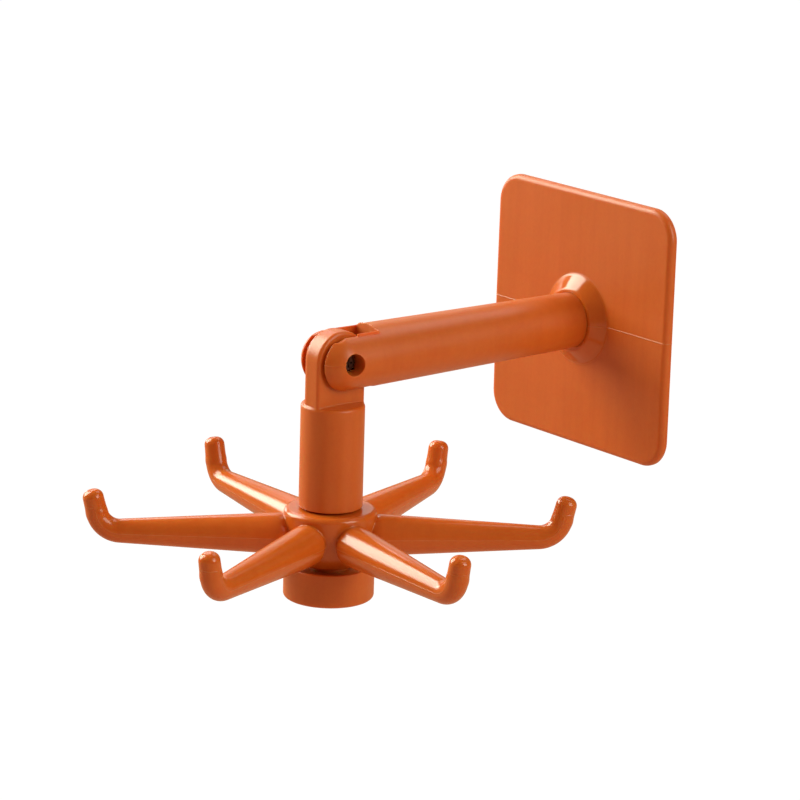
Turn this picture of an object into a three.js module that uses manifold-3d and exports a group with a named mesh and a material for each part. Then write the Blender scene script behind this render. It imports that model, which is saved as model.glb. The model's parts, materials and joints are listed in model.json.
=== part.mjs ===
// Rotating kitchen hook: a square adhesive wall plate with a socket collar, an arm that ends in a fork,
// a post that folds in the fork, and a star of six hooks that turns on the post's spindle above a cap.
// Millimetres, +Z up. The wall is on the +Y side, and the arm runs away from it along -Y.
// The origin is the middle of the adhesive pad's back face, which sticks to the wall.

import * as THREE from "three";
import { mergeVertices } from "three/addons/utils/BufferGeometryUtils.js";
import Module from "manifold-3d";

const wasm = await Module();
wasm.setup();

// Adhesive pad
const padThickness = 0.8;
const padInset = 2;
const padSeatGap = 0.05;

// Wall plate and the collar that the arm plugs into
const plateSide = 69;
const plateThickness = 2.6;
const plateCornerRadius = 8;
const plateEdgeRadius = 1.4;
const collarBaseRadius = 12;
const collarRimRadius = 8.4;
const collarHeight = 3.2;
const socketFloor = 2.3;
const socketClearance = 0.1;
const keyFlatDepth = 1;

// Arm, from the plate's front face to the pivot axis, round at the tail and thicker and oval at the fork,
// whose middle lies a little under the pivot axis
const armReach = 81.8;
const armTailRadius = 7.45;
const armForkHalfHeight = 8.15;
const armForkHalfWidth = 9.4;
const armForkDrop = 0.5;
const armNoseReach = 7.7;

// Slot of the fork, and the top of its ears: a flat over the pivot that slopes down to a lower flat in front
const slotWidth = 9.3;
const slotReach = 10.4;
const forkFlatHeight = 6.2;
const forkFlatReach = 3.6;
const forkSlopeStart = 0.3;
const forkSlopeEnd = 2.6;
const forkFrontHeight = 5.35;

// Screw that holds the arm from behind the plate, with a countersunk head
const armScrewHeadRadius = 3.1;
const armScrewHeadHeight = 1.6;
const armScrewShankRadius = 1.6;
const armScrewReach = 18;

// Pivot screw, sunk in the ear on the +X side and blind in the other ear
const pivotRecessRadius = 2.8;
const pivotRecessDepth = 3.45;
const pivotHeadRadius = 2.1;
const pivotHeadHeight = 1.1;
const pivotShankRadius = 1.5;
const pivotBlindWall = 2.25;

// Post: tongue, shoulder, round barrel and the spindle below it. Drops are measured down from the pivot axis.
const tongueThickness = 7.1;
const tongueRadius = 7.6;
const tongueEdgeRadius = 1;
const shoulderDrop = 11.1;
const shoulderSlope = 0.5;
const shoulderChamfer = 0.5;
const postRadius = 8.2;
const postDrop = 38.7;
const spindleRadius = 5;
const spindleEngagement = 3;

// Hub of the hook star
const hubTopGap = 0.5;
const hubFootGap = 0.4;
const hubHeight = 14.4;
const hubRimRadius = 12;
const hubRimRound = 1.5;
const hubFootRadius = 8.3;

// One hook, a round bar with a domed root that tapers outward, bends up and ends in a ball
const hookCount = 6;
const hookTurnDeg = -6.2;
const hookAxisDrop = 7.2;
const hookReach = 60.5;
const hookRise = 8.4;
const hookRootReach = 13.3;
const hookRootRadius = 5.35;
const hookNeckRadius = 3.1;
const hookThroatRadius = 2.8;
const hookTipRadius = 2.7;
const hookBendRadius = 6.2;
const hookLeanDeg = 13.5;

// Cap under the star and the screw that holds it on the spindle
const capRadius = 11.7;
const capHeight = 8.9;
const capTopEdge = 0.3;
const capBottomEdge = 1;
const capSocketClearance = 0.1;
const capCounterboreRadius = 3.6;
const capCounterboreDepth = 2.6;
const capScrewHeadRadius = 3.3;
const capScrewHeadHeight = 1.9;
const capScrewShankRadius = 1.6;
const capScrewReach = 16;

// Clearances that several pieces share, and the overrun of every cut
const runningClearance = 0.15;
const screwClearance = 0.1;
const seatGap = 0.1;
const overrun = 2;

// Recess of a screw's cross drive, as shares of its head
const driveLengthShare = 1.25;
const driveWidthShare = 0.26;
const driveDepthShare = 0.6;
const screwPointShare = 1.4;

// Fineness of round shapes, as numbers of steps
const roundSides = 48;
const screwSides = 24;
const hookSides = 16;
const cornerSteps = 7;
const edgeSteps = 4;
const ballSteps = 10;
const rootSteps = 4;
const rootStartShare = 0.2;
const barSteps = 3;
const bendSteps = 8;
const tipSteps = 4;

// Places that follow from the sizes above
const plateBackY = -(padThickness + padSeatGap);
const plateFrontY = plateBackY - plateThickness;
const pivotY = plateFrontY - armReach;
const socketFloorY = plateBackY - socketFloor;
const armTailY = socketFloorY - seatGap;
const hubTopDrop = postDrop + hubTopGap;
const hubFootDrop = hubTopDrop + hubHeight;
const capTopDrop = hubFootDrop + hubFootGap;
const capBottomDrop = capTopDrop + capHeight;
const capSeatDrop = capBottomDrop - capCounterboreDepth;
const spindleEndDrop = capTopDrop + spindleEngagement;
const hookHeightDrop = hubTopDrop + hookAxisDrop;
const hubBoreRadius = spindleRadius + runningClearance;

const orange = 0xc8602f;
const satinPlastic = () => new THREE.MeshStandardMaterial({ color: orange, roughness: 0.5, metalness: 0 });
const glossPlastic = () => new THREE.MeshStandardMaterial({ color: orange, roughness: 0.28, metalness: 0 });
const darkSteel = () => new THREE.MeshStandardMaterial({ color: 0x55524f, roughness: 0.4, metalness: 1 });
const milkyFilm = () => new THREE.MeshStandardMaterial({ color: 0xe9e6e0, roughness: 0.7, metalness: 0 });

// Manifold solid of a closed geometry; triangles that close to a line at a pole are left out
function solid(geometry) {
  const bare = geometry.clone();
  bare.deleteAttribute("normal");
  bare.deleteAttribute("uv");
  const merged = mergeVertices(bare);
  const corners = merged.index.array;
  const triangles = [];
  for (let i = 0; i < corners.length; i += 3) {
    const [a, b, c] = corners.slice(i, i + 3);
    if (a !== b && b !== c && c !== a) {
      triangles.push(a, b, c);
    }
  }
  const vertProperties = Float32Array.from(merged.attributes.position.array);
  const triVerts = Uint32Array.from(triangles);
  return new wasm.Manifold(new wasm.Mesh({ numProp: 3, vertProperties, triVerts }));
}

// Named mesh of a manifold solid
function piece(name, body, material) {
  const surface = body.getMesh();
  const geometry = new THREE.BufferGeometry();
  geometry.setAttribute("position", new THREE.BufferAttribute(Float32Array.from(surface.vertProperties), 3));
  geometry.setIndex(new THREE.BufferAttribute(Uint32Array.from(surface.triVerts), 1));
  geometry.computeVertexNormals();
  const mesh = new THREE.Mesh(geometry, material);
  mesh.name = name;
  return mesh;
}

// Closed geometry through rings of equally many points, each end closed by a fan
function loft(rings) {
  const sides = rings[0].length;
  const points = rings.flat();
  const index = [];
  for (let ring = 0; ring + 1 < rings.length; ring += 1) {
    for (let side = 0; side < sides; side += 1) {
      const next = (side + 1) % sides;
      const here = ring * sides;
      const there = here + sides;
      index.push(here + side, here + next, there + next, here + side, there + next, there + side);
    }
  }
  const addEnd = (ring, flip) => {
    const middle = points.length;
    const centre = new THREE.Vector3();
    ring.forEach((point) => centre.addScaledVector(point, 1 / sides));
    points.push(centre);
    const start = flip ? 0 : (rings.length - 1) * sides;
    for (let side = 0; side < sides; side += 1) {
      const next = (side + 1) % sides;
      index.push(middle, start + (flip ? next : side), start + (flip ? side : next));
    }
  };
  addEnd(rings[0], true);
  addEnd(rings[rings.length - 1], false);
  const geometry = new THREE.BufferGeometry().setFromPoints(points);
  geometry.setIndex(index);
  return geometry;
}

// Solid of revolution about the Y axis from [radius, y] points, listed with y going down
function revolveY(profile, sides = roundSides) {
  const points = profile.map(([radius, y]) => new THREE.Vector2(radius, y)).reverse();
  return solid(new THREE.LatheGeometry(points, sides));
}

// Solid of revolution about the Z axis from [radius, drop] points, listed with the drop growing
function revolveZ(profile, sides = roundSides) {
  const points = profile.map(([radius, drop]) => new THREE.Vector2(radius, -drop)).reverse();
  return solid(new THREE.LatheGeometry(points, sides).rotateX(Math.PI / 2));
}

// Round bar along an axis ("x", "y" or "z") between two places on it
function bar(axis, radius, from, to, sides = roundSides) {
  const geometry = new THREE.CylinderGeometry(radius, radius, Math.abs(to - from), sides);
  geometry.translate(0, (from + to) / 2, 0);
  if (axis === "x") {
    geometry.rotateZ(-Math.PI / 2);
  }
  if (axis === "z") {
    geometry.rotateX(Math.PI / 2);
  }
  return solid(geometry);
}

// Block between two opposite corners
function block(low, high) {
  const size = high.map((value, i) => value - low[i]);
  const middle = high.map((value, i) => (value + low[i]) / 2);
  return solid(new THREE.BoxGeometry(...size).translate(...middle));
}

// Ring of a square with round corners in an XZ plane
function roundedSquare(half, corner, y) {
  const ring = [];
  for (let quarter = 0; quarter < 4; quarter += 1) {
    const middle = ((quarter + 0.5) * Math.PI) / 2;
    const reach = (half - corner) * Math.SQRT2;
    for (let step = 0; step <= cornerSteps; step += 1) {
      const angle = ((quarter + step / cornerSteps) * Math.PI) / 2;
      const x = reach * Math.cos(middle) + corner * Math.cos(angle);
      const z = reach * Math.sin(middle) + corner * Math.sin(angle);
      ring.push(new THREE.Vector3(x, y, z));
    }
  }
  return ring;
}

// Cross-drive screw along Y: the head's outer face at y = 0, the shank toward -Y
function screw(headRadius, headHeight, shankRadius, length, countersunk) {
  const headFoot = countersunk ? shankRadius : headRadius;
  const pointLength = screwPointShare * shankRadius;
  const body = revolveY([
    [0, 0],
    [headRadius, 0],
    [headFoot, -headHeight],
    [shankRadius, -headHeight],
    [shankRadius, pointLength - length],
    [0, -length],
  ], screwSides);
  const half = (driveLengthShare * headRadius) / 2;
  const width = (driveWidthShare * headRadius) / 2;
  const depth = driveDepthShare * headHeight;
  const along = block([-half, -depth, -width], [half, overrun, width]);
  const across = block([-width, -depth, -half], [width, overrun, half]);
  return body.subtract(along.add(across));
}

function adhesivePad() {
  const half = plateSide / 2 - padInset;
  const corner = plateCornerRadius - padInset;
  const rings = [roundedSquare(half, corner, 0), roundedSquare(half, corner, -padThickness)];
  return piece("adhesive_pad", solid(loft(rings)), milkyFilm());
}

function wallPlate() {
  const half = plateSide / 2;
  const rings = [roundedSquare(half, plateCornerRadius, plateBackY)];
  for (let step = 0; step <= edgeSteps; step += 1) {
    const angle = (step / edgeSteps) * (Math.PI / 2);
    const inset = plateEdgeRadius * (1 - Math.cos(angle));
    const y = plateFrontY + plateEdgeRadius * (1 - Math.sin(angle));
    rings.push(roundedSquare(half - inset, plateCornerRadius - inset, y));
  }
  const collar = revolveY([
    [0, socketFloorY],
    [collarBaseRadius, socketFloorY],
    [collarBaseRadius, plateFrontY],
    [collarRimRadius, plateFrontY - collarHeight],
    [0, plateFrontY - collarHeight],
  ]);
  const socketRadius = armTailRadius + socketClearance;
  const flat = socketRadius - keyFlatDepth;
  const socketFrontY = plateFrontY - collarHeight - overrun;
  const socket = bar("y", socketRadius, socketFrontY, socketFloorY).subtract(
    block([-collarBaseRadius, socketFrontY - overrun, -collarBaseRadius], [collarBaseRadius, plateBackY, -flat]),
  );
  const headRadius = armScrewHeadRadius + screwClearance;
  const shankRadius = armScrewShankRadius + screwClearance;
  const screwHole = revolveY([
    [0, plateBackY + overrun],
    [headRadius, plateBackY + overrun],
    [headRadius, plateBackY],
    [shankRadius, plateBackY - armScrewHeadHeight],
    [shankRadius, socketFloorY - overrun],
    [0, socketFloorY - overrun],
  ]);
  const body = solid(loft(rings)).add(collar).subtract(socket).subtract(screwHole);
  return piece("wall_plate", body, satinPlastic());
}

// Sheet with an outline given as [forward, up] points, standing in the YZ plane between two places on X
function sheet(outline, from, to) {
  const shape = new THREE.Shape(outline.map(([forward, up]) => new THREE.Vector2(forward, up)));
  const geometry = new THREE.ExtrudeGeometry(shape, { depth: to - from, bevelEnabled: false });
  geometry.translate(0, 0, from);
  geometry.rotateX(Math.PI / 2);
  geometry.rotateZ(Math.PI / 2);
  return solid(geometry);
}

// Ring of an upright oval at a place on Y, with its middle a drop under the Y axis
function oval(halfWidth, halfHeight, y, drop) {
  const ring = [];
  for (let side = 0; side < roundSides; side += 1) {
    const angle = (side / roundSides) * (2 * Math.PI);
    ring.push(new THREE.Vector3(halfWidth * Math.cos(angle), y, halfHeight * Math.sin(angle) - drop));
  }
  return ring;
}

// The arm widens steadily from its round tail to the oval fork, which ends in half an ellipsoid
function armBody() {
  const rings = [
    oval(armTailRadius, armTailRadius, armTailY, 0),
    oval(armTailRadius, armTailRadius, plateFrontY - collarHeight, 0),
  ];
  for (let step = 0; step < ballSteps; step += 1) {
    const angle = (step / ballSteps) * (Math.PI / 2);
    const halfWidth = armForkHalfWidth * Math.cos(angle);
    const halfHeight = armForkHalfHeight * Math.cos(angle);
    rings.push(oval(halfWidth, halfHeight, pivotY - armNoseReach * Math.sin(angle), armForkDrop));
  }
  return solid(loft(rings));
}

function arm() {
  const flat = armTailRadius - keyFlatDepth;
  const keyCut = block(
    [-armForkHalfHeight, plateFrontY - collarHeight, -armForkHalfHeight],
    [armForkHalfHeight, armTailY + overrun, -flat],
  );
  const forkEnd = pivotY - armNoseReach - overrun;
  const tall = armForkHalfWidth + overrun;
  const slot = block([-slotWidth / 2, forkEnd, -tall], [slotWidth / 2, pivotY + slotReach, tall]);
  const top = sheet([
    [forkEnd, tall],
    [forkEnd, forkFrontHeight],
    [pivotY - forkSlopeEnd, forkFrontHeight],
    [pivotY - forkSlopeStart, forkFlatHeight],
    [pivotY + forkFlatReach, forkFlatHeight],
    [pivotY + forkFlatReach, tall],
  ], -tall, tall);
  const recessFloor = armForkHalfWidth - pivotRecessDepth - pivotHeadHeight;
  const blindEnd = -(armForkHalfWidth - pivotBlindWall);
  const recess = bar("x", pivotRecessRadius, recessFloor, tall, screwSides).translate([0, pivotY, 0]);
  const pivotHole = bar("x", pivotShankRadius + screwClearance, blindEnd, tall, screwSides).translate([0, pivotY, 0]);
  const pilotEnd = plateBackY - armScrewReach - screwClearance;
  const pilot = bar("y", armScrewShankRadius + screwClearance, armTailY + overrun, pilotEnd, screwSides);
  const cuts = slot.add(top).add(recess).add(pivotHole).add(keyCut).add(pilot);
  return piece("arm", armBody().subtract(cuts), satinPlastic());
}

function armScrew() {
  const body = screw(armScrewHeadRadius, armScrewHeadHeight, armScrewShankRadius, armScrewReach, true);
  const mesh = piece("arm_screw", body, darkSteel());
  mesh.position.y = plateBackY;
  return mesh;
}

// The screw lies along X with its head on the +X side
function pivotScrew() {
  const headX = armForkHalfWidth - pivotRecessDepth;
  const blindEnd = -(armForkHalfWidth - pivotBlindWall);
  const length = headX - blindEnd - seatGap;
  const body = screw(pivotHeadRadius, pivotHeadHeight - seatGap, pivotShankRadius, length, false);
  const mesh = piece("pivot_screw", body, darkSteel());
  mesh.rotation.z = -Math.PI / 2;
  mesh.position.set(headX, pivotY, 0);
  return mesh;
}

// Tongue with a round top and rounded edges, cut from a sheet that stands in the YZ plane
function tongue() {
  const radius = tongueRadius;
  const foot = -(shoulderDrop + shoulderSlope + tongueEdgeRadius);
  const outline = new THREE.Shape();
  outline.absarc(0, 0, radius, 0, Math.PI, false);
  outline.lineTo(-radius, foot);
  outline.lineTo(radius, foot);
  outline.closePath();
  const depth = tongueThickness - 2 * tongueEdgeRadius;
  const geometry = new THREE.ExtrudeGeometry(outline, {
    depth,
    curveSegments: roundSides / 2,
    bevelEnabled: true,
    bevelSegments: edgeSteps,
    bevelSize: tongueEdgeRadius,
    bevelOffset: -tongueEdgeRadius,
    bevelThickness: tongueEdgeRadius,
  });
  geometry.translate(0, 0, -depth / 2);
  geometry.rotateX(Math.PI / 2);
  geometry.rotateZ(Math.PI / 2);
  return solid(geometry);
}

function post() {
  const shoulderEdge = postRadius - shoulderChamfer;
  const barrel = revolveZ([
    [0, shoulderDrop],
    [tongueRadius - shoulderChamfer, shoulderDrop],
    [shoulderEdge, shoulderDrop + shoulderSlope],
    [postRadius, shoulderDrop + shoulderSlope + shoulderChamfer],
    [postRadius, postDrop],
    [spindleRadius, postDrop],
    [spindleRadius, spindleEndDrop],
    [0, spindleEndDrop],
  ]);
  const bore = bar("x", pivotShankRadius + runningClearance, -tongueThickness, tongueThickness, screwSides);
  const pilotTop = -(capSeatDrop - capScrewReach - screwClearance);
  const pilot = bar("z", capScrewShankRadius + screwClearance, -(spindleEndDrop + overrun), pilotTop, screwSides);
  return piece("post", tongue().add(barrel).subtract(bore).subtract(pilot), satinPlastic());
}

// Ring of a hook about a centre [reach, rise], square to a direction that rises by an angle
function hookRing(reach, rise, angle, radius) {
  const ring = [];
  for (let side = 0; side < hookSides; side += 1) {
    const turn = (side / hookSides) * 2 * Math.PI;
    const out = -Math.sin(angle) * Math.cos(turn) * radius;
    const up = Math.cos(angle) * Math.cos(turn) * radius;
    ring.push(new THREE.Vector3(reach + out, -Math.sin(turn) * radius, rise + up));
  }
  return ring;
}

// One hook along +X at the height of its own axis: bar, bend, straight throat and ball
function hook() {
  const bendEnd = Math.PI / 2 - THREE.MathUtils.degToRad(hookLeanDeg);
  const bendRise = hookBendRadius * (1 - Math.cos(bendEnd));
  const throat = (hookRise - bendRise) / Math.sin(bendEnd);
  const bendStart = hookReach - throat * Math.cos(bendEnd) - hookBendRadius * Math.sin(bendEnd);
  const mix = THREE.MathUtils.lerp;
  const rings = [];
  for (let step = 0; step < rootSteps; step += 1) {
    const polar = mix(rootStartShare, 1, step / rootSteps) * (Math.PI / 2);
    rings.push(hookRing(hookRootReach - hookRootRadius * Math.cos(polar), 0, 0, hookRootRadius * Math.sin(polar)));
  }
  for (let step = 0; step < barSteps; step += 1) {
    const share = step / barSteps;
    rings.push(hookRing(mix(hookRootReach, bendStart, share), 0, 0, mix(hookRootRadius, hookNeckRadius, share)));
  }
  for (let step = 0; step <= bendSteps; step += 1) {
    const angle = bendEnd * (step / bendSteps);
    const reach = bendStart + hookBendRadius * Math.sin(angle);
    const rise = hookBendRadius * (1 - Math.cos(angle));
    rings.push(hookRing(reach, rise, angle, mix(hookNeckRadius, hookThroatRadius, step / bendSteps)));
  }
  for (let step = 0; step < tipSteps; step += 1) {
    const polar = (step / tipSteps) * (Math.PI / 2);
    const ahead = hookTipRadius * Math.sin(polar);
    const reach = hookReach + ahead * Math.cos(bendEnd);
    rings.push(hookRing(reach, hookRise + ahead * Math.sin(bendEnd), bendEnd, hookTipRadius * Math.cos(polar)));
  }
  return solid(loft(rings));
}

function hookStar() {
  const round = hubRimRound;
  const profile = [[0, hubTopDrop]];
  for (let step = 0; step <= edgeSteps; step += 1) {
    const angle = (step / edgeSteps) * (Math.PI / 2);
    const radius = hubRimRadius - round * (1 - Math.sin(angle));
    profile.push([radius, hubTopDrop + round * (1 - Math.cos(angle))]);
  }
  profile.push([hubRimRadius, hubTopDrop + 2 * round], [hubFootRadius, hubFootDrop], [0, hubFootDrop]);
  let body = revolveZ(profile);
  for (let copy = 0; copy < hookCount; copy += 1) {
    const turned = hook().rotate([0, 0, (copy * 360) / hookCount]);
    body = body.add(turned.translate([0, 0, -hookHeightDrop]));
  }
  const bore = bar("z", hubBoreRadius, -(hubFootDrop + overrun), -(hubTopDrop - overrun));
  const mesh = piece("hook_star", body.subtract(bore), glossPlastic());
  mesh.rotation.z = THREE.MathUtils.degToRad(hookTurnDeg);
  return mesh;
}

function bottomCap() {
  const socketRadius = spindleRadius + capSocketClearance;
  const socketFloorDrop = spindleEndDrop + seatGap;
  const holeRadius = capScrewShankRadius + screwClearance;
  const body = revolveZ([
    [socketRadius, capTopDrop],
    [capRadius - capTopEdge, capTopDrop],
    [capRadius, capTopDrop + capTopEdge],
    [capRadius, capBottomDrop - capBottomEdge],
    [capRadius - capBottomEdge, capBottomDrop],
    [capCounterboreRadius, capBottomDrop],
    [capCounterboreRadius, capSeatDrop],
    [holeRadius, capSeatDrop],
    [holeRadius, socketFloorDrop],
    [socketRadius, socketFloorDrop],
    [socketRadius, capTopDrop],
  ]);
  return piece("bottom_cap", body, satinPlastic());
}

// The screw points up, with its head's outer face below its seat in the cap
function capScrew() {
  const length = capScrewReach + capScrewHeadHeight;
  const body = screw(capScrewHeadRadius, capScrewHeadHeight, capScrewShankRadius, length - seatGap, false);
  const mesh = piece("cap_screw", body, darkSteel());
  mesh.rotation.x = -Math.PI / 2;
  mesh.position.z = -(capSeatDrop + capScrewHeadHeight + seatGap);
  return mesh;
}

const bracket = new THREE.Group();
bracket.add(adhesivePad(), wallPlate(), arm(), armScrew(), pivotScrew());

const hanger = new THREE.Group();
hanger.position.y = pivotY;
hanger.add(post(), hookStar(), bottomCap(), capScrew());

const object = new THREE.Group();
object.add(bracket, hanger);

export default object;
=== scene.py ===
"""Looks of the rotating kitchen hook: moulded surfaces, plastic and steel finishes, studio and camera."""

import json
import math

import bmesh
import bpy
import numpy as np
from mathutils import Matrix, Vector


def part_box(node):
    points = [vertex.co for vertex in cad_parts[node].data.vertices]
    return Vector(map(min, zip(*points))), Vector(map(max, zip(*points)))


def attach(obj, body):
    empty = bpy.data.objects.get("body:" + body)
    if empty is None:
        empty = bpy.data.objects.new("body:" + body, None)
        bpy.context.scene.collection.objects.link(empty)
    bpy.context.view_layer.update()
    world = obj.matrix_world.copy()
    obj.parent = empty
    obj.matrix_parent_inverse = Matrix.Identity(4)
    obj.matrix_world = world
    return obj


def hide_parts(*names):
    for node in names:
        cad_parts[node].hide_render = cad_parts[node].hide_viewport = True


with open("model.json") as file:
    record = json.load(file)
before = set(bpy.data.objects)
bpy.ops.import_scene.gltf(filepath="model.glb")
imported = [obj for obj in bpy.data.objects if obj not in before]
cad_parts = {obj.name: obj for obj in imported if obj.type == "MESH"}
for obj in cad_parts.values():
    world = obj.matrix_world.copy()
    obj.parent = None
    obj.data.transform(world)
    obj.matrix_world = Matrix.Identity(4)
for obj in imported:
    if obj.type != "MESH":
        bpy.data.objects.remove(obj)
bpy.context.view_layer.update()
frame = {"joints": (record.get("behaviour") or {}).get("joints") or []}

import openvdb
from mathutils import Matrix, Vector

# Lengths below are in millimetres, in the frame's axes, and meshes are scaled to metres when they are added
MM = 0.001


def box_mm(node):
    """Lowest and highest corner of a CAD node, in millimetres."""
    low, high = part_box(node)
    return np.array(low) / MM, np.array(high) / MM


# Places and sizes that the frame gives
joints = {joint["name"]: joint for joint in frame["joints"]}
pivot = np.array(joints["post_fold"]["pos_m"]) / MM
star_height = joints["star_spin"]["pos_m"][2] / MM
pad_low, pad_high = box_mm("adhesive_pad")
plate_low, plate_high = box_mm("wall_plate")
arm_low, arm_high = box_mm("arm")
post_low, post_high = box_mm("post")
star_low, star_high = box_mm("hook_star")
cap_low, cap_high = box_mm("bottom_cap")
arm_screw_low, arm_screw_high = box_mm("arm_screw")
pivot_screw_low, pivot_screw_high = box_mm("pivot_screw")
cap_screw_low, cap_screw_high = box_mm("cap_screw")

# Sizes that end in edge are roundings of edges, and those in blend or fillet are roundings of inner corners

# Wall plate, its collar and the pad behind it
plate_corner = 8
plate_edge = 1.4
plate_back_edge = 0.3
plate_draft = 0.25
collar_base = 12
collar_rim = 8.4
collar_height = 3.2
collar_fillet = 0.4
collar_rim_edge = 0.2
socket_floor = 2.3
socket_clearance = 0.005
socket_edge = 0.05
key_flat = 1
pad_inset = 2
pad_corner = plate_corner - pad_inset
pad_edge = 0.2

# Arm and fork
tail_radius = 7.45
arm_end_edge = 0.3
fork_half_width = 9.4
fork_half_height = 8.15
fork_drop = 0.5
nose_reach = 7.7
slot_half = 4.65
slot_reach = 10.4
slot_edge = 0.25
fork_flat = 6.2
fork_flat_reach = 3.6
fork_slope_start = -0.3
fork_slope_end = -2.6
fork_front_height = 5.35
fork_top_edge = 0.15
rim_height = 6.9
rim_side = 5.2
rim_blend = 0.15
recess_radius = 2.8
recess_depth = 3.45
recess_edge = 0.12
pivot_head_height = 1.1
pivot_head_radius = (pivot_screw_high[1] - pivot_screw_low[1]) / 2
pivot_shank = 1.5
screw_clearance = 0.1
seat_gap = 0.1
hole_edge = 0.1

# Flash that the mould leaves behind the slot: two waves, in radians a millimetre, shape its teeth
lip_rise = 0.32
lip_width = 0.28
lip_low = 5
lip_fade = 1
lip_wave = 5.2
lip_slow_wave = 2.7
lip_swing = 2

# Post
tongue_half = 3.55
tongue_radius = 7.6
tongue_near_edge = 0.9
tongue_far_edge = 2.6
tongue_sink = 1.2
tongue_blend = 0.35
shoulder_drop = 11.1
shoulder_slope = 0.5
shoulder_edge = 0.8
post_radius = post_high[0]
post_drop = 38.7
post_edge = 0.3
spindle_radius = 5
spindle_sink = 0.9
spindle_blend = 0.3
running_clearance = 0.15
pivot_bore_edge = 0.15

# Hub and hooks
hub_top = 7.2
hub_foot = star_low[2] - star_height
hub_rim = 12
hub_rim_edge = 1.5
hub_wall_drop = 3
hub_wall_edge = 1
hub_foot_radius = 8.3
hub_foot_edge = 0.4
hub_bore_edge = 0.3
root_blend = 0.45
root_reach = 13.3
hook_count = 6
hook_turn = math.radians(-6.2)
hook_reach = 60.38
hook_rise = 8.4
hook_root = 5.35
hook_neck = 3.1
hook_throat = 2.8
hook_tip = 2.7
hook_bend = 6.2
hook_lean = math.radians(13.5)
throat_blend = 0.4
tip_dome = 2.45
tip_edge = 2.1
tip_seam_drop = 1.8

# Cap
cap_radius = cap_high[0]
cap_top_edge = 0.3
cap_bottom_edge = 1
cap_dish = 10.9
cap_dish_depth = 1.2
cap_socket = 5.1
cap_socket_edge = 0.2
cap_counterbore = 3.6
cap_counterbore_depth = 2.6
cap_counterbore_edge = 0.3
cap_bore_edge = 0.15

# Screws: the point and the cross recess are given in shares of the shank and of the head
arm_screw_head = 3.1
arm_screw_head_height = 1.6
cap_screw_head = 3.3
cap_screw_head_height = 1.9
flat_head_edge = 0.1
round_head_edge = 0.35
head_blend = 0.15
wood_shank = 1.6
point_share = 1.6
point_edge = 0.05
thread_pitch = 1.15
thread_depth = 0.35
thread_steepness = 1.6
thread_root_share = 0.3
cross_reach_share = 0.62
cross_taper_share = 0.25
cross_depth_share = 0.6
cross_slimness = 4.6
cross_edge = 0.12

# Measured square to the axis, an offset from a thread or cone is too long, so these shares of it are taken
thread_offset_share = 0.7
cone_offset_share = 0.8

# Seams of the mould: how high and wide they are, and the offsets that stand for past one and for none
seam_rise = 0.035
seam_width = 0.11
past_seam = 1
no_seam = 9.0

# Steps between sampling planes, from the finest across a seam to the widest along what is straight
seam_step = 0.1
pad_edge_step = 0.12
screw_step = 0.14
dish_step = 0.15
edge_step = 0.2
fine_step = 0.22
face_step = 0.3
star_step = 0.32
corner_step = 0.45
pad_corner_step = 0.5
cap_side_step = 0.6
plate_flat_step = 2
straight_step = 2.5
pad_flat_step = 3

# How far the planes reach past a piece, and how wide the zones with fine steps are
slim_margin = 0.4
margin = 0.5
wide_margin = 0.6
pad_margin = 1
pad_edge_zone = 0.5
pad_edge_margin = 0.2
seam_zone = 0.35
collar_margin = 1
plate_edge_zone = 2
fork_margin = 1.5
post_edge_zone = 1
cap_edge_zone = 1.4

# A surface is found by pulls along its slope, which is measured over a short probe
probe = 0.02
pulls = 3
longest_pull = 2.5
least_steepness = 1e-6
flat_angle = math.radians(0.05)


def norm(*parts):
    return np.sqrt(sum(part * part for part in parts))


def mix(start, end, share):
    return start + (end - start) * share


def join(a, b, blend):
    """Union of two distances with a fillet."""
    near = np.maximum(blend - np.abs(a - b), 0) / blend
    return np.minimum(a, b) - near * near * blend / 4


def cut(a, b, blend):
    """Distance a without distance b, with a softened edge."""
    return -join(-a, b, blend)


def meet(a, b, edge):
    """What lies in both distances, with a round edge."""
    inside = np.minimum(np.maximum(a + edge, b + edge), 0)
    return inside + norm(np.maximum(a + edge, 0), np.maximum(b + edge, 0)) - edge


def ridge(offset):
    """Height of a mould seam at an offset from it."""
    return seam_rise * np.exp(-((offset / seam_width) ** 2))


def rounded_square(x, z, half, corner):
    qx = np.abs(x) - (half - corner)
    qz = np.abs(z) - (half - corner)
    return norm(np.maximum(qx, 0), np.maximum(qz, 0)) + np.minimum(np.maximum(qx, qz), 0) - corner


def slope_of(distance, points):
    """Unit outward direction of a distance at points, and its steepness."""
    slope = np.empty_like(points)
    for k in range(3):
        step = np.zeros(3)
        step[k] = probe
        slope[:, k] = (distance(points + step) - distance(points - step)) / (2 * probe)
    steepness = np.maximum(norm(*slope.T), least_steepness)
    return slope / steepness[:, None], steepness


def skin(distance, planes):
    """Points, faces and directions of the surface where a distance is zero, sampled on X, Y and Z planes."""
    xs, ys, zs = planes
    sheet = np.stack(np.meshgrid(ys, zs, indexing="ij"), -1).reshape(-1, 2)
    values = np.empty((len(xs), len(ys), len(zs)), np.float32)
    for i, x in enumerate(xs):
        column = np.column_stack([np.full(len(sheet), x), sheet])
        values[i] = distance(column).reshape(len(ys), len(zs))
    grid = openvdb.FloatGrid()
    grid.copyFromArray(values)
    places, faces = grid.convertToQuads()
    points = np.column_stack([np.interp(places[:, k], np.arange(len(p)), p) for k, p in enumerate(planes)])
    for _ in range(pulls):
        direction, steepness = slope_of(distance, points)
        gap = np.clip(distance(points) / steepness, -longest_pull, longest_pull)
        points = points - direction * gap[:, None]
    direction, _ = slope_of(distance, points)
    a, b, c = (points[faces[:, k]] for k in range(3))
    facing = (np.cross(b - a, c - a) * direction[faces[:, 0]]).sum()
    if facing < 0:
        faces = faces[:, ::-1]
    return points, faces, direction


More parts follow.
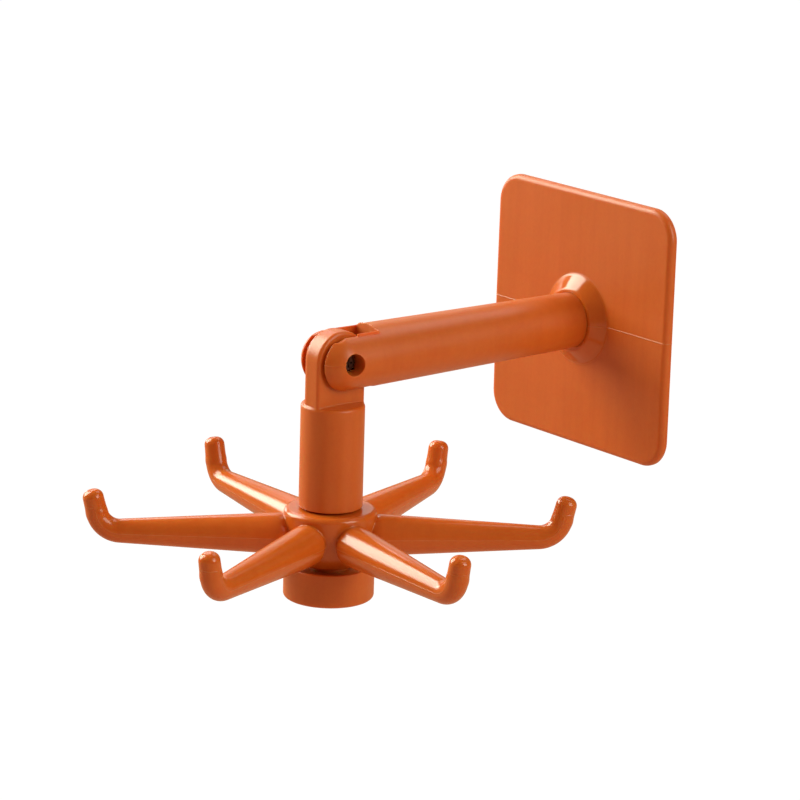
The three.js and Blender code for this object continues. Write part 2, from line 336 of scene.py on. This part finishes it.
def merge_flats(points, faces):
    """Joins neighbouring faces that lie in one plane."""
    shape = bmesh.new()
    made = [shape.verts.new(point) for point in points]
    for face in faces:
        shape.faces.new([made[i] for i in face])
    verts, edges = shape.verts[:], shape.edges[:]
    bmesh.ops.dissolve_limit(
        shape, angle_limit=flat_angle, verts=verts, edges=edges, use_dissolve_boundaries=False
    )
    shape.verts.index_update()
    merged = np.array([vert.co for vert in shape.verts])
    loops = [[vert.index for vert in face.verts] for face in shape.faces]
    shape.free()
    return merged, loops


def spaced(*stops):
    """Sampling planes through stops, given as place, step, place, step ... place."""
    places = [stops[0]]
    for start, step, end in zip(stops[0::2], stops[1::2], stops[2::2]):
        count = max(1, math.ceil((end - start) / step))
        places.extend(start + (end - start) * (i + 1) / count for i in range(count))
    return np.array(places, float)


def spaced_alike(middle_step, *outward):
    """Sampling planes alike on both sides, given from the middle as step, place, step ... place."""
    backward = [value if i % 2 else -value for i, value in enumerate(reversed(outward))]
    return spaced(*backward, middle_step, *outward)


def add_piece(name, distance, planes, finish, body, node, seam=None, polish=None, flat=False):
    """Adds the skinned surface of a distance in place of a CAD node."""
    points, faces, direction = skin(distance, planes)
    if flat:
        points, faces = merge_flats(points, faces)
        direction, _ = slope_of(distance, points)
    mesh = bpy.data.meshes.new(name)
    mesh.from_pydata((points * MM).tolist(), [], [list(map(int, face)) for face in faces])
    mesh.polygons.foreach_set("use_smooth", [True] * len(mesh.polygons))
    offsets = np.full(len(points), no_seam) if seam is None else seam(points)
    mesh.attributes.new("seam", "FLOAT", "POINT").data.foreach_set("value", offsets.astype(np.float32))
    shine = np.zeros(len(points)) if polish is None else polish(points)
    mesh.attributes.new("polish", "FLOAT", "POINT").data.foreach_set("value", shine.astype(np.float32))
    mesh.normals_split_custom_set_from_vertices(direction.tolist())
    mesh.materials.append(finish)
    piece = bpy.data.objects.new(name, mesh)
    bpy.context.scene.collection.objects.link(piece)
    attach(piece, body)
    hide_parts(node)
    return piece


# Distances of the pieces, each a function of points


def pad_distance(p):
    x, y, z = p.T
    outline = rounded_square(x, z, pad_high[0], pad_corner)
    middle = (pad_low[1] + pad_high[1]) / 2
    return meet(outline, np.abs(y - middle) - (pad_high[1] - pad_low[1]) / 2, pad_edge)


def plate_distance(p):
    """A slab with a slightly crowned front and a bevelled collar, bored for the arm's tail and its screw."""
    x, y, z = p.T
    front = plate_low[1] + collar_height + plate_draft * np.abs(z) / plate_high[2]
    outline = rounded_square(x, z, plate_high[0], plate_corner)
    slab = meet(outline, front - y, plate_edge)
    slab = meet(slab, y - plate_high[1], plate_back_edge)
    radius = norm(x, z)
    base_y = plate_low[1] + collar_height
    bevel = (collar_base - collar_rim, collar_height)
    side = ((radius - collar_base) * bevel[1] + (base_y - y) * bevel[0]) / math.hypot(*bevel)
    collar = meet(meet(side, plate_low[1] - y, collar_rim_edge), y - plate_high[1], plate_back_edge)
    body = join(slab, collar, collar_fillet) - ridge(z)
    socket_radius = tail_radius + socket_clearance
    floor_y = plate_high[1] - socket_floor
    bore = np.maximum(np.maximum(radius - socket_radius, y - floor_y), -z - (socket_radius - key_flat))
    body = cut(body, bore, socket_edge)
    depth = plate_high[1] - y
    head = arm_screw_head + screw_clearance
    shank = wood_shank + screw_clearance
    sink = (radius - head) + (head - shank) * np.clip(depth / arm_screw_head_height, 0, 1)
    return cut(body, sink, hole_edge)


def ragged_lip(x, forward, z):
    """Height of the ragged flash along the top of the slot's rear wall."""
    teeth = (1 + np.sin(lip_wave * x + lip_swing * np.sin(lip_slow_wave * x))) / 2
    across = np.clip((slot_half + lip_width - np.abs(x)) / lip_fade, 0, 1)
    height = lip_rise * np.exp(-(((forward - slot_reach) / lip_width) ** 2))
    return np.where(z > lip_low, height * teeth * across, 0)


def arm_distance(p):
    """An oval bar that tapers to a round tail, with half an ellipsoid at the fork's nose."""
    x, y, z = p.T
    forward = y - pivot[1]
    share = np.clip(forward / (plate_low[1] - pivot[1]), 0, 1)
    radius = mix(fork_half_height, tail_radius, share)
    widening = radius / mix(fork_half_width, tail_radius, share)
    nose = np.minimum(forward, 0) * fork_half_height / nose_reach
    level = z + fork_drop * (1 - share)
    body = norm(x * widening, level, nose) - radius
    body = body - np.where(forward < 0, ridge(z), 0) - ragged_lip(x, forward, z)
    keyed = np.where(y > plate_low[1], -z - (tail_radius - key_flat), -tail_radius)
    body = meet(np.maximum(body, keyed), y - arm_high[1], arm_end_edge)
    body = cut(body, np.maximum(np.abs(x) - slot_half, forward - slot_reach), slot_edge)
    top = np.interp(forward, [fork_slope_end, fork_slope_start], [fork_front_height, fork_flat])
    body = cut(body, np.maximum(top - z, forward - fork_flat_reach), fork_top_edge)
    rim = np.maximum(np.maximum(slot_half - x, x - rim_side), np.maximum(z - rim_height, lip_low - z))
    rim = np.maximum(rim, np.maximum(fork_flat_reach - forward, forward - slot_reach))
    body = join(body, rim, rim_blend)
    about = norm(forward, z)
    recess_floor = fork_half_width - recess_depth - pivot_head_height
    body = cut(body, np.maximum(about - recess_radius, recess_floor - x), recess_edge)
    pivot_end = pivot_screw_low[0] - seat_gap
    body = cut(body, np.maximum(about - pivot_shank - screw_clearance, pivot_end - x), hole_edge)
    pilot_end = arm_screw_low[1] - screw_clearance
    return cut(body, np.maximum(norm(x, z) - wood_shank - screw_clearance, pilot_end - y), hole_edge)


def post_distance(p):
    """A tongue with a round top, a barrel under its sloped shoulder and a spindle below."""
    x, y, z = p.T
    along = y - pivot[1]
    drop = -z
    outline = np.where(drop > 0, np.abs(along), norm(along, z)) - tongue_radius
    tongue = meet(meet(outline, x - tongue_half, tongue_near_edge), -x - tongue_half, tongue_far_edge)
    tongue = np.maximum(tongue, drop - shoulder_drop - tongue_sink)
    radius = norm(x, along)
    top = shoulder_drop + shoulder_slope * radius / post_radius - drop
    barrel = meet(meet(radius - post_radius, top, shoulder_edge), drop - post_drop, post_edge)
    spindle = meet(radius - spindle_radius, drop + post_low[2], post_edge)
    spindle = np.maximum(spindle, post_drop - spindle_sink - drop)
    body = join(join(tongue, barrel, tongue_blend), spindle, spindle_blend)
    bore = norm(along, z) - pivot_shank - running_clearance
    body = cut(body, bore, pivot_bore_edge)
    pilot_top = -cap_screw_high[2] - screw_clearance
    pilot = np.maximum(radius - wood_shank - screw_clearance, pilot_top - drop)
    return cut(body, pilot, hole_edge)


# The hook's centreline: a straight bar, a round bend and a leaning throat
bend_end = math.pi / 2 - hook_lean
bend_rise = hook_bend * (1 - math.cos(bend_end))
throat_length = (hook_rise - bend_rise) / math.sin(bend_end)
bend_start = hook_reach - throat_length * math.cos(bend_end) - hook_bend * math.sin(bend_end)
sector = 2 * math.pi / hook_count


def in_bend(along, up):
    """Turn round the bend, and the place beside its centreline at that turn, outward and up."""
    turn = np.clip(np.arctan2(along - bend_start, hook_bend - up), 0, bend_end)
    return turn, along - bend_start - hook_bend * np.sin(turn), up - hook_bend * (1 - np.cos(turn))


def in_throat(along, up):
    """Climb along the throat from the bend's end, and the place across it, positive on the outer side."""
    from_along = along - bend_start - hook_bend * math.sin(bend_end)
    from_up = up - bend_rise
    climb = from_along * math.cos(bend_end) + from_up * math.sin(bend_end)
    return climb, from_along * math.sin(bend_end) - from_up * math.cos(bend_end)


def hook_distance(along, side, up):
    """Distance to one hook, from its place along, beside and above the bar's axis."""
    reach = np.clip(along, root_reach, bend_start)
    bar_radius = mix(hook_root, hook_neck, (reach - root_reach) / (bend_start - root_reach))
    bar = norm(along - reach, side, up) - bar_radius
    turn, off_along, off_up = in_bend(along, up)
    bend = norm(off_along, off_up, side) - mix(hook_neck, hook_throat, turn / bend_end)
    climb, across = in_throat(along, up)
    throat_radius = mix(hook_throat, hook_tip, np.clip(climb / throat_length, 0, 1))
    throat = norm(across, side, np.minimum(climb, 0)) - throat_radius
    throat = meet(throat, climb - throat_length - tip_dome, tip_edge)
    return join(np.minimum(bar, bend), throat, throat_blend)


def folded(x, y):
    """Place along and beside the nearest hook, beside counted from its axis and never negative."""
    angle = np.arctan2(y, x) - hook_turn
    angle = angle - sector * np.round(angle / sector)
    radius = norm(x, y)
    return radius * np.cos(angle), np.abs(radius * np.sin(angle))


def star_distance(p):
    """The nearest two hooks, joined to a hub whose wall tapers to its foot."""
    x, y, z = p[:, 0], p[:, 1] - pivot[1], p[:, 2] - star_height
    along, side = folded(x, y)
    next_along = along * math.cos(sector) + side * math.sin(sector)
    next_side = side * math.cos(sector) - along * math.sin(sector)
    hooks = join(hook_distance(along, side, z), hook_distance(next_along, next_side, z), root_blend)
    radius = norm(x, y)
    lean = (hub_rim - hub_foot_radius, hub_top - hub_wall_drop - hub_foot)
    taper = ((radius - hub_rim) * lean[1] + (hub_top - hub_wall_drop - z) * lean[0]) / math.hypot(*lean)
    hub = meet(radius - hub_rim, z - hub_top, hub_rim_edge)
    hub = meet(hub, taper, hub_wall_edge)
    hub = meet(hub, hub_foot - z, hub_foot_edge)
    body = join(hub, hooks, root_blend)
    body = np.maximum(body, hub_foot - z)
    return cut(body, radius - spindle_radius - running_clearance, hub_bore_edge)


def star_seam(p):
    """Offset from the mould's seam, which follows the bars' sides and rounds the tips' outer faces."""
    x, y, z = p[:, 0], p[:, 1] - pivot[1], p[:, 2] - star_height
    along, _ = folded(x, y)
    turn, off_along, off_up = in_bend(along, z)
    climb, across = in_throat(along, z)
    offset = np.where(along < bend_start, z, off_up * np.cos(turn) - off_along * np.sin(turn))
    bent = along > bend_start
    offset = np.where((climb > 0) & bent, -across, offset)
    above = z - (hook_rise - tip_seam_drop)
    outer = across > 0
    tip_offset = np.where(outer, above, np.maximum(above, past_seam))
    offset = np.where((above > 0) & bent, tip_offset, offset)
    offset = np.where((above <= 0) & bent & outer, np.maximum(above, offset), offset)
    return np.where(norm(x, y) < hub_rim, no_seam, offset)


def cap_distance(p):
    radius = norm(p[:, 0], p[:, 1] - pivot[1])
    up = p[:, 2]
    body = meet(radius - cap_radius, up - cap_high[2], cap_top_edge)
    body = meet(body, cap_low[2] - up, cap_bottom_edge)
    body = cut(body, np.maximum(radius - cap_dish, cap_high[2] - cap_dish_depth - up), cap_top_edge)
    socket = np.maximum(radius - cap_socket, post_low[2] - seat_gap - up)
    body = cut(body, socket, cap_socket_edge)
    counterbore = np.maximum(radius - cap_counterbore, up - cap_low[2] - cap_counterbore_depth)
    body = cut(body, counterbore, cap_counterbore_edge)
    return cut(body, radius - wood_shank - screw_clearance, cap_bore_edge)


def screw_distance(axis, inward, place, head_radius, head_height, shank_radius, length, countersunk):
    """Distance of a cross-drive tapping screw whose head's outer face is at a place on its axis."""
    others = [k for k in range(3) if k != axis]

    def distance(p):
        depth = (p[:, axis] - place[axis]) * inward
        u = p[:, others[0]] - place[others[0]]
        v = p[:, others[1]] - place[others[1]]
        radius = norm(u, v)
        turn = np.arctan2(v, u) / (2 * math.pi) + depth / thread_pitch
        tooth = np.abs(2 * (turn - np.floor(turn)) - 1)
        filled = np.clip(tooth * thread_steepness - thread_root_share, 0, 1)
        crest = shank_radius - thread_depth + thread_depth * filled
        narrowing = np.clip((length - depth) / (point_share * shank_radius), 0, 1)
        shank = meet((radius - crest * narrowing) * thread_offset_share, depth - length, point_edge)
        shank = np.maximum(shank, -depth)
        faces = np.abs(depth - head_height / 2) - head_height / 2
        if countersunk:
            cone = radius - mix(head_radius, shank_radius, np.clip(depth / head_height, 0, 1))
            head = meet(cone * cone_offset_share, faces, flat_head_edge)
        else:
            head = meet(radius - head_radius, faces, round_head_edge)
        body = join(head, shank, head_blend)
        one_arm = np.maximum(np.abs(u), np.abs(v) * cross_slimness)
        other_arm = np.maximum(np.abs(v), np.abs(u) * cross_slimness)
        reach = cross_reach_share * head_radius * (1 - cross_taper_share * depth / head_height)
        cross = np.minimum(one_arm, other_arm) - reach
        return cut(body, np.maximum(cross, depth - cross_depth_share * head_height), cross_edge)

    return distance


# Node helpers

# The mixing node names its sockets alike for numbers and colours, so the colours' ones are told by number
mix_share = 0
mix_first = 6
mix_second = 7
mix_result = 2


def add_node(tree, kind, inputs=None, **settings):
    """Adds a node with settings, and with inputs that are values or other nodes' outputs."""
    node = tree.nodes.new(kind)
    for name, value in settings.items():
        setattr(node, name, value)
    for name, value in (inputs or {}).items():
        if isinstance(value, bpy.types.NodeSocket):
            tree.links.new(value, node.inputs[name])
        else:
            node.inputs[name].default_value = value
    return node


def new_material(name):
    material = bpy.data.materials.new(name)
    material.use_nodes = True
    tree = material.node_tree
    tree.nodes.clear()
    output = tree.nodes.new("ShaderNodeOutputMaterial")
    return material, tree, output


def maths(tree, operation, a, b=0.0, clamp=False):
    return add_node(tree, "ShaderNodeMath", {0: a, 1: b}, operation=operation, use_clamp=clamp).outputs[0]


def blend_colour(tree, share, a, b):
    inputs = {mix_share: share, mix_first: a, mix_second: b}
    return add_node(tree, "ShaderNodeMix", inputs, data_type="RGBA").outputs[mix_result]


def noise(tree, coordinates, scale, detail=2.0, roughness=0.5):
    inputs = {"Vector": coordinates, "Scale": scale, "Detail": detail, "Roughness": roughness}
    return add_node(tree, "ShaderNodeTexNoise", inputs).outputs["Fac"]


def bumped(tree, height, strength):
    """Normal of a bump whose height is counted in millimetres."""
    inputs = {"Height": height, "Distance": MM, "Strength": strength}
    return add_node(tree, "ShaderNodeBump", inputs).outputs[0]


# Orange plastic: its tints, the noises that mix them, its seams with a painted highlight along them, and its
# glow. Scales count waves in a metre
dark_tint = (0.54, 0.093, 0.007, 1)
light_tint = (0.71, 0.156, 0.021, 1)
drift_scale = 45.0
drift_detail = 3.0
drift_share = 0.35
flow_scales = (420.0, 420.0, 28.0)
flow_share = 0.4
speck_scale = 1100.0
speck_share = 0.25
grit_detail = 3.0
grit_roughness = 0.6
# The seams' lighter tint is a painted highlight, standing in for light caught by their thin ridge
seam_highlight_tint = (0.8, 0.36, 0.16, 1)
seam_highlight_share = 0.7
seam_line_width = 0.16
seam_gap_scale = 320.0
seam_gap_share = 0.2
seam_bump = 0.06
haze_span = 0.12
noise_middle = 0.5
plastic_ior = 1.5
glow_share = 0.5
glow_depth = 2.2
glow_reach_shares = (1.0, 0.42, 0.12)

# How polished each face is, as a share of the way from satin, and where the collar's polish ends
collar_polish_margin = 0.6
collar_polish_fade = 1
arm_polish_share = 0.15
tongue_polish_share = 0.25
barrel_polish_share = 0.05


def orange_plastic(name, satin_roughness, polished_roughness, grain, grain_scale):
    """Moulded orange plastic: tint that drifts a little, fine grain, faint flow marks, and seams with a bump
    and a painted highlight that lightens their tint.
    """
    material, tree, output = new_material(name)
    place = add_node(tree, "ShaderNodeTexCoord").outputs["Object"]
    drift = noise(tree, place, drift_scale, drift_detail)
    stretched = add_node(tree, "ShaderNodeMapping", {"Vector": place, "Scale": flow_scales}).outputs[0]
    flow = noise(tree, stretched, 1.0)
    specks = noise(tree, place, speck_scale)
    drifting = maths(tree, "MULTIPLY", drift, drift_share)
    cloud = maths(tree, "ADD", drifting, maths(tree, "MULTIPLY", flow, flow_share))
    cloud = maths(tree, "ADD", cloud, maths(tree, "MULTIPLY", specks, speck_share))
    tint = blend_colour(tree, cloud, dark_tint, light_tint)
    seam = add_node(tree, "ShaderNodeAttribute", attribute_name="seam").outputs["Fac"]
    distance = maths(tree, "ABSOLUTE", seam)
    line = maths(tree, "SUBTRACT", 1.0, maths(tree, "DIVIDE", distance, seam_line_width), clamp=True)
    # Painted highlight: the tint is lightened along the seam's line, with gaps, where the thin ridge would
    # catch light
    whole = maths(tree, "SUBTRACT", noise(tree, place, seam_gap_scale), seam_gap_share, clamp=True)
    broken_highlight = maths(tree, "MULTIPLY", line, whole)
    colour = blend_colour(tree, maths(tree, "MULTIPLY", broken_highlight, seam_highlight_share), tint, seam_highlight_tint)
    polish = add_node(tree, "ShaderNodeAttribute", attribute_name="polish").outputs["Fac"]
    dull = maths(tree, "SUBTRACT", 1.0, polish, clamp=True)
    grit = maths(tree, "MULTIPLY", noise(tree, place, grain_scale, grit_detail, grit_roughness), dull)
    raised = maths(tree, "MULTIPLY", line, seam_bump)
    height = maths(tree, "ADD", maths(tree, "MULTIPLY", grit, grain), raised)
    haze = maths(tree, "MULTIPLY", maths(tree, "SUBTRACT", drift, noise_middle), haze_span)
    span = satin_roughness - polished_roughness
    base = maths(tree, "ADD", maths(tree, "MULTIPLY", dull, span), polished_roughness)
    inputs = {
        "Base Color": colour,
        "Roughness": maths(tree, "ADD", haze, base, clamp=True),
        "IOR": plastic_ior,
        "Normal": bumped(tree, height, 1.0),
        "Subsurface Weight": glow_share,
        "Subsurface Scale": glow_depth * MM,
        "Subsurface Radius": glow_reach_shares,
    }
    shader = add_node(tree, "ShaderNodeBsdfPrincipled", inputs)
    tree.links.new(shader.outputs[0], output.inputs[0])
    return material


# Steel painted near black and warm brown: painted shade of the screws in their recesses, with a cast of the
# orange light that bounces there
steel_dark = (0.08, 0.042, 0.034, 1)
steel_light = (0.15, 0.08, 0.066, 1)
steel_scale = 900.0
steel_detail = 4.0
steel_roughness = 0.22
steel_roughness_span = 0.25
steel_bump = 0.08


def dark_steel():
    material, tree, output = new_material("dark_steel")
    place = add_node(tree, "ShaderNodeTexCoord").outputs["Object"]
    cloud = noise(tree, place, steel_scale, steel_detail)
    # Painted shade: the steel's colour is kept near black, with a warm brown cast of painted bounce light
    colour = blend_colour(tree, cloud, steel_dark, steel_light)
    spread = maths(tree, "MULTIPLY", cloud, steel_roughness_span)
    roughness = maths(tree, "ADD", spread, steel_roughness)
    bump = bumped(tree, cloud, steel_bump)
    inputs = {"Base Color": colour, "Roughness": roughness, "Metallic": 1.0, "Normal": bump}
    shader = add_node(tree, "ShaderNodeBsdfPrincipled", inputs)
    tree.links.new(shader.outputs[0], output.inputs[0])
    return material


# Milky adhesive film
film_dark = (0.74, 0.72, 0.67, 1)
film_light = (0.84, 0.82, 0.78, 1)
film_scale = 60.0
film_detail = 3.0
film_cell_scale = 1600.0
film_cell_height = 0.12
film_bump = 0.6
film_roughness = 0.62


def adhesive_film():
    material, tree, output = new_material("adhesive_film")
    place = add_node(tree, "ShaderNodeTexCoord").outputs["Object"]
    inputs = {"Vector": place, "Scale": film_cell_scale}
    cells = add_node(tree, "ShaderNodeTexVoronoi", inputs).outputs["Distance"]
    colour = blend_colour(tree, noise(tree, place, film_scale, film_detail), film_dark, film_light)
    bump = bumped(tree, maths(tree, "MULTIPLY", cells, film_cell_height), film_bump)
    inputs = {"Base Color": colour, "Roughness": film_roughness, "Normal": bump}
    shader = add_node(tree, "ShaderNodeBsdfPrincipled", inputs)
    tree.links.new(shader.outputs[0], output.inputs[0])
    return material


satin = orange_plastic(
    "satin_orange_plastic", satin_roughness=0.4, polished_roughness=0.12, grain=0.026, grain_scale=1600.0
)
glossy = orange_plastic(
    "gloss_orange_plastic", satin_roughness=0.2, polished_roughness=0.16, grain=0.0015, grain_scale=900.0
)
steel = dark_steel()
film = adhesive_film()


# Pieces


def add_pad():
    half = pad_high[0]
    lines = spaced_alike(
        pad_flat_step, half - pad_corner, pad_corner_step, half - pad_edge_zone,
        pad_edge_step, half + pad_edge_margin, pad_margin, half + pad_margin,
    )
    planes = (lines, spaced(pad_low[1] - slim_margin, seam_step, pad_high[1] + slim_margin), lines)
    add_piece(
        "pad_film", pad_distance, planes, film, "bracket", "adhesive_pad", flat=True
    )


def plate_lines(middle_step):
    half = plate_high[0]
    return spaced_alike(
        middle_step, seam_zone, face_step, collar_base + collar_margin, plate_flat_step, half - plate_corner,
        corner_step, half - plate_edge_zone, face_step, half + wide_margin,
    )


def add_plate():
    depth = spaced(plate_low[1] - margin, edge_step, plate_high[1] + margin)

    def seam(p):
        return p[:, 2]

    def polish(p):
        reach = collar_base + collar_polish_margin - norm(p[:, 0], p[:, 2])
        return np.clip(reach / collar_polish_fade, 0, 1)

    planes = (plate_lines(face_step), depth, plate_lines(seam_step))
    add_piece(
        "plate_moulding", plate_distance, planes, satin, "bracket", "wall_plate",
        seam, polish, flat=True,
    )


def add_arm():
    reach = fork_half_width + margin
    across = spaced(-reach, fine_step, reach)
    rise = fork_half_height + margin
    upright = spaced(-rise - fork_drop, fine_step, -seam_zone, seam_step, seam_zone, fine_step, rise)
    along = spaced(
        arm_low[1] - margin, fine_step, pivot[1] + slot_reach + fork_margin, straight_step,
        plate_low[1] - margin, face_step, arm_high[1] + wide_margin,
    )

    def seam(p):
        forward = p[:, 1] - pivot[1]
        # The flash on the slot's lip gets the seam's bump and its painted highlight
        on_lip = (np.abs(forward - slot_reach) < lip_width) & (np.abs(p[:, 0]) < slot_half)
        on_lip = on_lip & (p[:, 2] > lip_low)
        return np.where(on_lip, 0, np.where(forward < 0, p[:, 2], no_seam))

    def polish(p):
        return np.full(len(p), arm_polish_share)

    planes = (across, along, upright)
    add_piece(
        "arm_moulding", arm_distance, planes, satin, "bracket", "arm", seam, polish
    )


def add_post():
    reach = post_radius + margin
    across = spaced(-reach, fine_step, reach)
    barrel_top = -(shoulder_drop + shoulder_slope + shoulder_edge + margin)
    up = spaced(
        post_low[2] - margin, edge_step, post_low[2] + post_edge_zone, straight_step,
        -post_drop - post_edge_zone, edge_step, post_edge_zone - post_drop, straight_step,
        barrel_top, fine_step, post_high[2] + margin,
    )

    def polish(p):
        return np.where(p[:, 2] > -shoulder_drop, tongue_polish_share, barrel_polish_share)

    planes = (across, across + pivot[1], up)
    add_piece(
        "post_moulding", post_distance, planes, satin, "hanger", "post", polish=polish
    )


def add_star():
    low, high = star_low - wide_margin, star_high + wide_margin
    planes = tuple(spaced(low[k], star_step, high[k]) for k in range(3))
    add_piece(
        "star_moulding", star_distance, planes, glossy, "star", "hook_star", star_seam
    )


def add_cap():
    reach = cap_radius + margin
    across = spaced(-reach, face_step, reach)
    dish_floor = cap_high[2] - cap_dish_depth
    up = spaced(
        cap_low[2] - margin, edge_step, cap_low[2] + cap_edge_zone, cap_side_step,
        dish_floor - slim_margin, dish_step, cap_high[2] + slim_margin,
    )
    planes = (across, across + pivot[1], up)
    add_piece(
        "cap_moulding", cap_distance, planes, satin, "hanger", "bottom_cap", flat=True
    )


def add_screw(name, axis, inward, place, low, high, body, node, **sizes):
    planes = tuple(spaced(low[k] - slim_margin, screw_step, high[k] + slim_margin) for k in range(3))
    distance = screw_distance(axis, inward, place, **sizes)
    add_piece(name, distance, planes, steel, body, node)


add_pad()
add_plate()
add_arm()
add_post()
add_star()
add_cap()
add_screw(
    "arm_screw_steel", 1, -1, (0, arm_screw_high[1], 0),
    arm_screw_low, arm_screw_high, "bracket", "arm_screw",
    head_radius=arm_screw_head, head_height=arm_screw_head_height, shank_radius=wood_shank,
    length=arm_screw_high[1] - arm_screw_low[1], countersunk=True,
)
add_screw(
    "pivot_screw_steel", 0, -1, (pivot_screw_high[0], pivot[1], 0),
    pivot_screw_low, pivot_screw_high, "bracket", "pivot_screw",
    head_radius=pivot_head_radius, head_height=pivot_head_height - seat_gap, shank_radius=pivot_shank,
    length=pivot_screw_high[0] - pivot_screw_low[0], countersunk=False,
)
add_screw(
    "cap_screw_steel", 2, 1, (0, pivot[1], cap_screw_low[2]),
    cap_screw_low, cap_screw_high, "hanger", "cap_screw",
    head_radius=cap_screw_head, head_height=cap_screw_head_height, shank_radius=wood_shank,
    length=cap_screw_high[2] - cap_screw_low[2], countersunk=False,
)

# Camera, fitted to the photograph: where it looks from, the point it looks at and its tilt about the view
view_azimuth = math.radians(51.1)
view_elevation = math.radians(14.71)
view_roll = math.radians(1.69)
view_target = Vector((0, -63.45, -13.99))
view_distance = 896.79
near_clip = 10
focal_pixels = 3481.99
photo_side = 800
sensor = 36


def toward(azimuth, elevation):
    """Unit direction from the object to a place, by its angle from the front and its height."""
    level = math.cos(elevation)
    return Vector((math.sin(azimuth) * level, -math.cos(azimuth) * level, math.sin(elevation)))


def add_camera():
    back = toward(view_azimuth, view_elevation)
    level = Vector((math.cos(view_azimuth), math.sin(view_azimuth), 0))
    upright = back.cross(level)
    right = level * math.cos(view_roll) + upright * math.sin(view_roll)
    up = upright * math.cos(view_roll) - level * math.sin(view_roll)
    camera = bpy.data.cameras.new("camera")
    camera.sensor_width = sensor
    camera.lens = focal_pixels / photo_side * sensor
    camera.clip_start = near_clip * MM
    holder = bpy.data.objects.new("camera", camera)
    turn = Matrix((right, up, back)).transposed()
    holder.matrix_world = Matrix.Translation((view_target + back * view_distance) * MM) @ turn.to_4x4()
    bpy.context.scene.collection.objects.link(holder)
    bpy.context.scene.camera = holder


add_camera()

# Studio: the lamps stand round the object's middle, and the sizes of lamps and floor are in metres
lit_middle = Vector((0, -60, -10)) * MM
lamp_distance = 1.0
floor_height = -0.62
floor_side = 12
floor_shade = (0.08, 0.08, 0.08, 1)
floor_bounce_colour = (1, 0.68, 0.42, 1)
floor_bounce = 0.66
ambient_colour = (1, 0.72, 0.36, 1)
ambient = 0.25
white = (1, 1, 1, 1)
plain_light = (1, 1, 1)
key_light = (0.92, 1, 0.84)
side_light = (0.97, 1, 0.85)


def softbox(name, azimuth, elevation, width, height, power, colour=plain_light):
    """Area lamp that looks at the object's middle from a direction in degrees."""
    direction = toward(math.radians(azimuth), math.radians(elevation))
    lamp = bpy.data.lights.new(name, "AREA")
    lamp.shape = "RECTANGLE"
    lamp.size = width
    lamp.size_y = height
    lamp.energy = power
    lamp.color = colour
    holder = bpy.data.objects.new(name, lamp)
    holder.location = lit_middle + direction * lamp_distance
    holder.rotation_euler = direction.to_track_quat("Z", "Y").to_euler()
    bpy.context.scene.collection.objects.link(holder)


def add_world():
    """White to the camera, and a dim warm room to everything else."""
    world = bpy.data.worlds.new("studio")
    bpy.context.scene.world = world
    world.use_nodes = True
    tree = world.node_tree
    tree.nodes.clear()
    seen = add_node(tree, "ShaderNodeLightPath").outputs["Is Camera Ray"]
    room = add_node(tree, "ShaderNodeBackground", {"Color": ambient_colour, "Strength": ambient})
    backdrop = add_node(tree, "ShaderNodeBackground", {"Color": white, "Strength": 1.0})
    chosen = add_node(tree, "ShaderNodeMixShader", {0: seen, 1: room.outputs[0], 2: backdrop.outputs[0]})
    add_node(tree, "ShaderNodeOutputWorld", {0: chosen.outputs[0]})


def add_floor():
    """Pale floor: nearly white to the camera, with the object's shadow, and a glow from below to the rest."""
    bpy.ops.mesh.primitive_plane_add(size=floor_side, location=(0, 0, floor_height))
    floor = bpy.context.object
    floor.name = "floor"
    material, tree, output = new_material("pale_floor")
    seen = add_node(tree, "ShaderNodeLightPath").outputs["Is Camera Ray"]
    bounce = add_node(tree, "ShaderNodeEmission", {"Color": floor_bounce_colour, "Strength": floor_bounce})
    faint = add_node(tree, "ShaderNodeBsdfDiffuse", {"Color": floor_shade})
    glow = add_node(tree, "ShaderNodeEmission", {"Color": white, "Strength": 1.0})
    lifted = add_node(tree, "ShaderNodeAddShader", {0: faint.outputs[0], 1: glow.outputs[0]})
    chosen = add_node(tree, "ShaderNodeMixShader", {0: seen, 1: bounce.outputs[0], 2: lifted.outputs[0]})
    tree.links.new(chosen.outputs[0], output.inputs[0])
    floor.data.materials.append(material)


add_world()
add_floor()
softbox("key_box", azimuth=-66, elevation=30, width=0.6, height=0.82, power=16.5, colour=key_light)
softbox("top_box", azimuth=-108, elevation=36, width=0.35, height=0.3, power=1.0)
softbox("rear_box", azimuth=-125, elevation=20, width=0.5, height=0.45, power=0.5)
softbox("low_box", azimuth=-100, elevation=6, width=0.3, height=0.3, power=1.1)
softbox("right_box", azimuth=106, elevation=27, width=0.5, height=0.75, power=5.5, colour=side_light)
softbox("back_box", azimuth=-165, elevation=55, width=0.45, height=0.45, power=1.2)
bpy.context.scene.view_settings.view_transform = "Standard"
